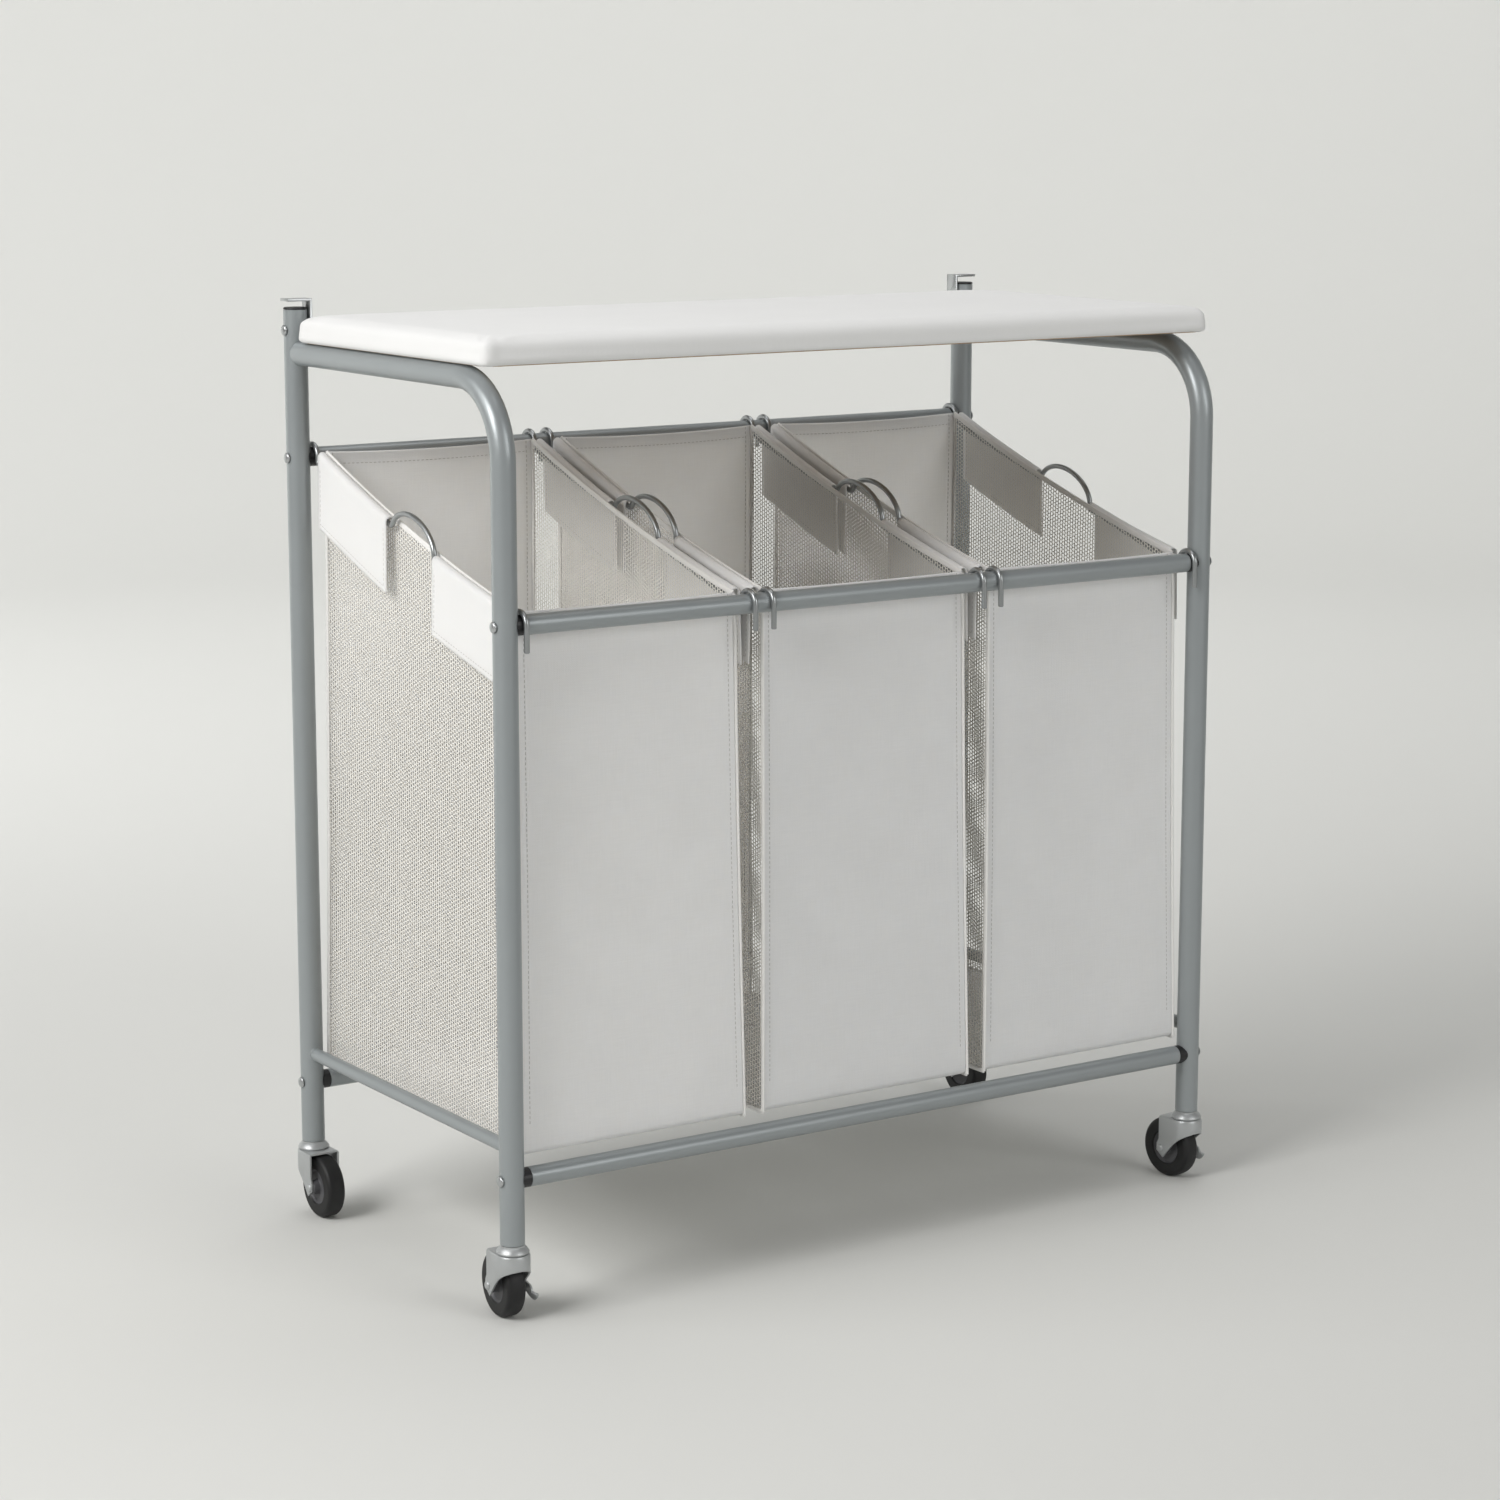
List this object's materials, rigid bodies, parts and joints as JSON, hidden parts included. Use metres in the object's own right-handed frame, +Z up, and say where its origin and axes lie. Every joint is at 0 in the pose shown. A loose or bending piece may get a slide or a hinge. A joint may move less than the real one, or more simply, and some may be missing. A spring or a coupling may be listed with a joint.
{
  "type": "laundry sorter",
  "caption": "Laundry sorter on casters: a tubular steel frame with three lift-out canvas bags on wire rods under a hinged padded top.",
  "frame": {"origin": "on the floor, under the middle of the frame", "axes": "+Z up, +X to the right as seen from the front, +Y from the low front of the bags to their high rear"},
  "size_m": [0.8153, 0.4172, 0.879],
  "materials": {
    "silver_painted_steel": "satin silver grey paint",
    "bright_zinc_steel": "bright zinc plate",
    "black_plastic": "matte",
    "black_rubber": "smooth",
    "natural_canvas": "woven canvas with mesh sides",
    "white_cotton": "plain woven cotton over padding",
    "fibre_board": "raw pressed board"
  },
  "bodies": {
    "frame": {"left_front_tube": "silver_painted_steel", "left_rear_post": "silver_painted_steel", "left_rear_post_cap": "black_plastic", "left_side_rail": "silver_painted_steel", "left_pivot_bolt": "bright_zinc_steel", "right_front_tube": "silver_painted_steel", "right_rear_post": "silver_painted_steel", "right_rear_post_cap": "black_plastic", "right_side_rail": "silver_painted_steel", "right_pivot_bolt": "bright_zinc_steel", "lower_front_bar": "silver_painted_steel", "lower_front_left_spacer": "black_plastic", "lower_front_left_bolt": "bright_zinc_steel", "lower_front_right_spacer": "black_plastic", "lower_front_right_bolt": "bright_zinc_steel", "lower_rear_bar": "silver_painted_steel", "lower_rear_left_spacer": "black_plastic", "lower_rear_left_bolt": "bright_zinc_steel", "lower_rear_right_spacer": "black_plastic", "lower_rear_right_bolt": "bright_zinc_steel", "upper_front_bar": "silver_painted_steel", "upper_front_left_spacer": "black_plastic", "upper_front_left_bolt": "bright_zinc_steel", "upper_front_right_spacer": "black_plastic", "upper_front_right_bolt": "bright_zinc_steel", "upper_rear_bar": "silver_painted_steel", "upper_rear_left_spacer": "black_plastic", "upper_rear_left_bolt": "bright_zinc_steel", "upper_rear_right_spacer": "black_plastic", "upper_rear_right_bolt": "bright_zinc_steel", "front_left_caster_stem": "bright_zinc_steel", "front_right_caster_stem": "bright_zinc_steel", "rear_left_caster_stem": "bright_zinc_steel", "rear_right_caster_stem": "bright_zinc_steel"},
    "board": {"board_deck": "fibre_board", "board_pad": "white_cotton", "left_hinge_bracket": "bright_zinc_steel", "right_hinge_bracket": "bright_zinc_steel"},
    "left_bag": {"left_bag": "natural_canvas", "left_bag_left_rod": "bright_zinc_steel", "left_bag_right_rod": "bright_zinc_steel"},
    "middle_bag": {"middle_bag": "natural_canvas", "middle_bag_left_rod": "bright_zinc_steel", "middle_bag_right_rod": "bright_zinc_steel"},
    "right_bag": {"right_bag": "natural_canvas", "right_bag_left_rod": "bright_zinc_steel", "right_bag_right_rod": "bright_zinc_steel"},
    "front_left_fork": {"front_left_caster_fork": "bright_zinc_steel"},
    "front_left_wheel": {"front_left_wheel": "black_rubber"},
    "front_left_brake": {"front_left_brake_pedal": "bright_zinc_steel"},
    "front_right_fork": {"front_right_caster_fork": "bright_zinc_steel"},
    "front_right_wheel": {"front_right_wheel": "black_rubber"},
    "front_right_brake": {"front_right_brake_pedal": "bright_zinc_steel"},
    "rear_left_fork": {"rear_left_caster_fork": "bright_zinc_steel"},
    "rear_left_wheel": {"rear_left_wheel": "black_rubber"},
    "rear_right_fork": {"rear_right_caster_fork": "bright_zinc_steel"},
    "rear_right_wheel": {"rear_right_wheel": "black_rubber"}
  },
  "joints": [
    {"name": "board_hinge", "type": "hinge", "parent": "frame", "child": "board", "pos_m": [0, 0.193, 0.85], "axis": [-1, 0, 0], "range_deg": [0, 95]},
    {"name": "left_bag_lift", "type": "slide", "parent": "frame", "child": "left_bag", "axis": [0, 0, 1], "range_m": [0, 0.05]},
    {"name": "middle_bag_lift", "type": "slide", "parent": "frame", "child": "middle_bag", "axis": [0, 0, 1], "range_m": [0, 0.05]},
    {"name": "right_bag_lift", "type": "slide", "parent": "frame", "child": "right_bag", "axis": [0, 0, 1], "range_m": [0, 0.05]},
    {"name": "front_left_swivel", "type": "hinge", "parent": "frame", "child": "front_left_fork", "pos_m": [-0.385, -0.193, 0.0635], "axis": [0, 0, 1], "continuous": true},
    {"name": "front_left_wheel_spin", "type": "hinge", "parent": "front_left_fork", "child": "front_left_wheel", "pos_m": [-0.38345, -0.17326, 0.03], "axis": [0.9969, -0.0785, 0], "continuous": true},
    {"name": "front_left_brake", "type": "hinge", "parent": "front_left_fork", "child": "front_left_brake", "pos_m": [-0.38345, -0.17326, 0.03], "axis": [0.9969, -0.0785, 0], "range_deg": [0, 18]},
    {"name": "front_right_swivel", "type": "hinge", "parent": "frame", "child": "front_right_fork", "pos_m": [0.385, -0.193, 0.0635], "axis": [0, 0, 1], "continuous": true},
    {"name": "front_right_wheel_spin", "type": "hinge", "parent": "front_right_fork", "child": "front_right_wheel", "pos_m": [0.38293, -0.17331, 0.03], "axis": [0.9945, 0.1045, 0], "continuous": true},
    {"name": "front_right_brake", "type": "hinge", "parent": "front_right_fork", "child": "front_right_brake", "pos_m": [0.38293, -0.17331, 0.03], "axis": [0.9945, 0.1045, 0], "range_deg": [0, 18]},
    {"name": "rear_left_swivel", "type": "hinge", "parent": "frame", "child": "rear_left_fork", "pos_m": [-0.385, 0.193, 0.0635], "axis": [0, 0, 1], "continuous": true},
    {"name": "rear_left_wheel_spin", "type": "hinge", "parent": "rear_left_fork", "child": "rear_left_wheel", "pos_m": [-0.385, 0.1732, 0.03], "axis": [-1, 0, 0], "continuous": true},
    {"name": "rear_right_swivel", "type": "hinge", "parent": "frame", "child": "rear_right_fork", "pos_m": [0.385, 0.193, 0.0635], "axis": [0, 0, 1], "continuous": true},
    {"name": "rear_right_wheel_spin", "type": "hinge", "parent": "rear_right_fork", "child": "rear_right_wheel", "pos_m": [0.385, 0.1732, 0.03], "axis": [-1, 0, 0], "continuous": true}
  ]
}
